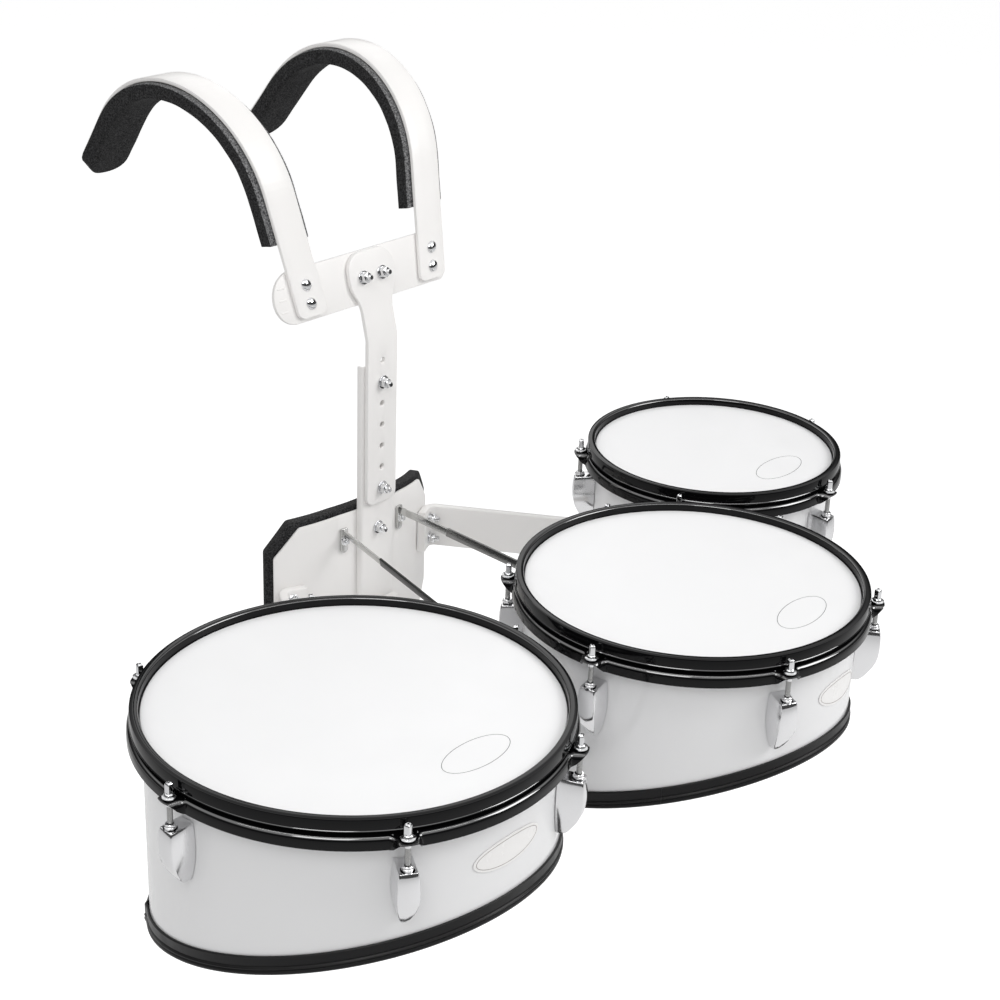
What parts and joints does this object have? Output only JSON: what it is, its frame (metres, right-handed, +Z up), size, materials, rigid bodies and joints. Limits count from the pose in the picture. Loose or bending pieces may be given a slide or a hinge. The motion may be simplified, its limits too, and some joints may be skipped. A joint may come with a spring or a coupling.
{
  "type": "marching tenor drums",
  "caption": "Row of single-headed marching drums with slanted white shells, black hoops and chrome lugs, held on a padded shoulder carrier.",
  "frame": {"origin": "between the shoulders, on the underside of the shoulder pads at their crown", "axes": "+X to the player's left, -Y forward away from the player, +Z up"},
  "size_m": [1.0041, 0.888, 0.6294],
  "materials": {
    "shell_white": "gloss white covering over a plywood shell",
    "head_film": "smooth white polyester film",
    "hoop_black": "gloss black",
    "trim_rubber": "satin black, finely ribbed",
    "lug_chrome": "polished",
    "rod_chrome": "polished",
    "carrier_white": "smooth white powder coat",
    "stay_chrome": "polished",
    "pad_foam": "closed-cell foam, matt"
  },
  "bodies": {
    "shoulder_frame": {"yoke_plate": "carrier_white", "height_bar": "carrier_white", "right_shoulder_strap": "carrier_white", "left_shoulder_strap": "carrier_white", "right_shoulder_pad": "pad_foam", "left_shoulder_pad": "pad_foam"},
    "drum_rack": {"right_shell": "shell_white", "right_head": "head_film", "right_hoop": "hoop_black", "right_edge_trim": "trim_rubber", "right_lug_1": "lug_chrome", "right_lug_2": "lug_chrome", "right_lug_3": "lug_chrome", "right_lug_4": "lug_chrome", "right_lug_5": "lug_chrome", "right_lug_6": "lug_chrome", "middle_shell": "shell_white", "middle_head": "head_film", "middle_hoop": "hoop_black", "middle_edge_trim": "trim_rubber", "middle_lug_1": "lug_chrome", "middle_lug_2": "lug_chrome", "middle_lug_3": "lug_chrome", "middle_lug_4": "lug_chrome", "middle_lug_5": "lug_chrome", "middle_lug_6": "lug_chrome", "left_shell": "shell_white", "left_head": "head_film", "left_hoop": "hoop_black", "left_edge_trim": "trim_rubber", "left_lug_1": "lug_chrome", "left_lug_2": "lug_chrome", "left_lug_3": "lug_chrome", "left_lug_4": "lug_chrome", "left_lug_5": "lug_chrome", "height_channel": "carrier_white", "belly_plate": "carrier_white", "belly_pad": "pad_foam", "right_arm": "carrier_white", "left_arm": "carrier_white", "centre_arm": "carrier_white", "right_stay_rod": "stay_chrome", "left_stay_rod": "stay_chrome"},
    "right_rod_1": {"right_tension_rod_1": "rod_chrome"},
    "right_rod_2": {"right_tension_rod_2": "rod_chrome"},
    "right_rod_3": {"right_tension_rod_3": "rod_chrome"},
    "right_rod_4": {"right_tension_rod_4": "rod_chrome"},
    "right_rod_5": {"right_tension_rod_5": "rod_chrome"},
    "right_rod_6": {"right_tension_rod_6": "rod_chrome"},
    "middle_rod_1": {"middle_tension_rod_1": "rod_chrome"},
    "middle_rod_2": {"middle_tension_rod_2": "rod_chrome"},
    "middle_rod_3": {"middle_tension_rod_3": "rod_chrome"},
    "middle_rod_4": {"middle_tension_rod_4": "rod_chrome"},
    "middle_rod_5": {"middle_tension_rod_5": "rod_chrome"},
    "middle_rod_6": {"middle_tension_rod_6": "rod_chrome"},
    "left_rod_1": {"left_tension_rod_1": "rod_chrome"},
    "left_rod_2": {"left_tension_rod_2": "rod_chrome"},
    "left_rod_3": {"left_tension_rod_3": "rod_chrome"},
    "left_rod_4": {"left_tension_rod_4": "rod_chrome"},
    "left_rod_5": {"left_tension_rod_5": "rod_chrome"}
  },
  "joints": [
    {"name": "height_adjust", "type": "slide", "parent": "shoulder_frame", "child": "drum_rack", "axis": [0, 0, 1], "range_m": [-0.0956, 0]},
    {"name": "right_rod_turn_1", "type": "hinge", "parent": "drum_rack", "child": "right_rod_1", "pos_m": [-0.48788, -0.66924, -0.4], "axis": [0, 0, 1], "continuous": true},
    {"name": "right_rod_turn_2", "type": "hinge", "parent": "drum_rack", "child": "right_rod_2", "pos_m": [-0.29606, -0.67963, -0.4], "axis": [0, 0, 1], "continuous": true},
    {"name": "right_rod_turn_3", "type": "hinge", "parent": "drum_rack", "child": "right_rod_3", "pos_m": [-0.19116, -0.5187, -0.4], "axis": [0, 0, 1], "continuous": true},
    {"name": "right_rod_turn_4", "type": "hinge", "parent": "drum_rack", "child": "right_rod_4", "pos_m": [-0.27807, -0.34739, -0.4], "axis": [0, 0, 1], "continuous": true},
    {"name": "right_rod_turn_5", "type": "hinge", "parent": "drum_rack", "child": "right_rod_5", "pos_m": [-0.46989, -0.337, -0.4], "axis": [0, 0, 1], "continuous": true},
    {"name": "right_rod_turn_6", "type": "hinge", "parent": "drum_rack", "child": "right_rod_6", "pos_m": [-0.57479, -0.49792, -0.4], "axis": [0, 0, 1], "continuous": true},
    {"name": "middle_rod_turn_1", "type": "hinge", "parent": "drum_rack", "child": "middle_rod_1", "pos_m": [-0.07013, -0.73066, -0.4], "axis": [0, 0, 1], "continuous": true},
    {"name": "middle_rod_turn_2", "type": "hinge", "parent": "drum_rack", "child": "middle_rod_2", "pos_m": [0.10199, -0.71226, -0.4], "axis": [0, 0, 1], "continuous": true},
    {"name": "middle_rod_turn_3", "type": "hinge", "parent": "drum_rack", "child": "middle_rod_3", "pos_m": [0.17212, -0.55401, -0.4], "axis": [0, 0, 1], "continuous": true},
    {"name": "middle_rod_turn_4", "type": "hinge", "parent": "drum_rack", "child": "middle_rod_4", "pos_m": [0.07013, -0.41414, -0.4], "axis": [0, 0, 1], "continuous": true},
    {"name": "middle_rod_turn_5", "type": "hinge", "parent": "drum_rack", "child": "middle_rod_5", "pos_m": [-0.10199, -0.43254, -0.4], "axis": [0, 0, 1], "continuous": true},
    {"name": "middle_rod_turn_6", "type": "hinge", "parent": "drum_rack", "child": "middle_rod_6", "pos_m": [-0.17212, -0.59079, -0.4], "axis": [0, 0, 1], "continuous": true},
    {"name": "left_rod_turn_1", "type": "hinge", "parent": "drum_rack", "child": "left_rod_1", "pos_m": [0.1418, -0.45125, -0.4], "axis": [0, 0, 1], "continuous": true},
    {"name": "left_rod_turn_2", "type": "hinge", "parent": "drum_rack", "child": "left_rod_2", "pos_m": [0.28397, -0.54008, -0.4], "axis": [0, 0, 1], "continuous": true},
    {"name": "left_rod_turn_3", "type": "hinge", "parent": "drum_rack", "child": "left_rod_3", "pos_m": [0.41238, -0.43233, -0.4], "axis": [0, 0, 1], "continuous": true},
    {"name": "left_rod_turn_4", "type": "hinge", "parent": "drum_rack", "child": "left_rod_4", "pos_m": [0.34958, -0.2769, -0.4], "axis": [0, 0, 1], "continuous": true},
    {"name": "left_rod_turn_5", "type": "hinge", "parent": "drum_rack", "child": "left_rod_5", "pos_m": [0.18236, -0.28859, -0.4], "axis": [0, 0, 1], "continuous": true}
  ]
}
